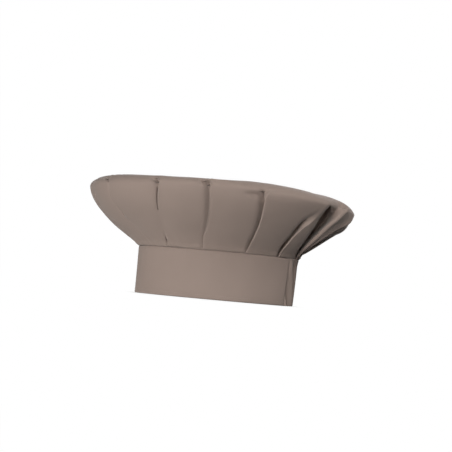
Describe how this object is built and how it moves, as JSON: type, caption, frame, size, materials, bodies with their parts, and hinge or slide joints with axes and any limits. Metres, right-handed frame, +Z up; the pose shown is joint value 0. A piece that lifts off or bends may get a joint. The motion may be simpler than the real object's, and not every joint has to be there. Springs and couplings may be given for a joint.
{
  "type": "gathered cook's cap",
  "caption": "Low cook's cap in taupe cloth: a plain upright headband with an elastic back carries a wide puffed crown laid in knife pleats.",
  "frame": {"origin": "under the middle of the whole cap, on the surface where the band's lower rim rests", "axes": "-Y is the front, +Y the elasticated back, +X the wearer's left, +Z up"},
  "size_m": [0.3024, 0.3338, 0.1432],
  "materials": {
    "crown_cloth": "matte woven cotton blend",
    "band_cloth": "matte woven cotton blend, folded and pressed",
    "casing_cloth": "matte woven cotton blend, ruffled by elastic"
  },
  "bodies": {
    "root": {"crown": "crown_cloth", "headband": "band_cloth", "elastic_back": "casing_cloth"}
  },
  "joints": []
}
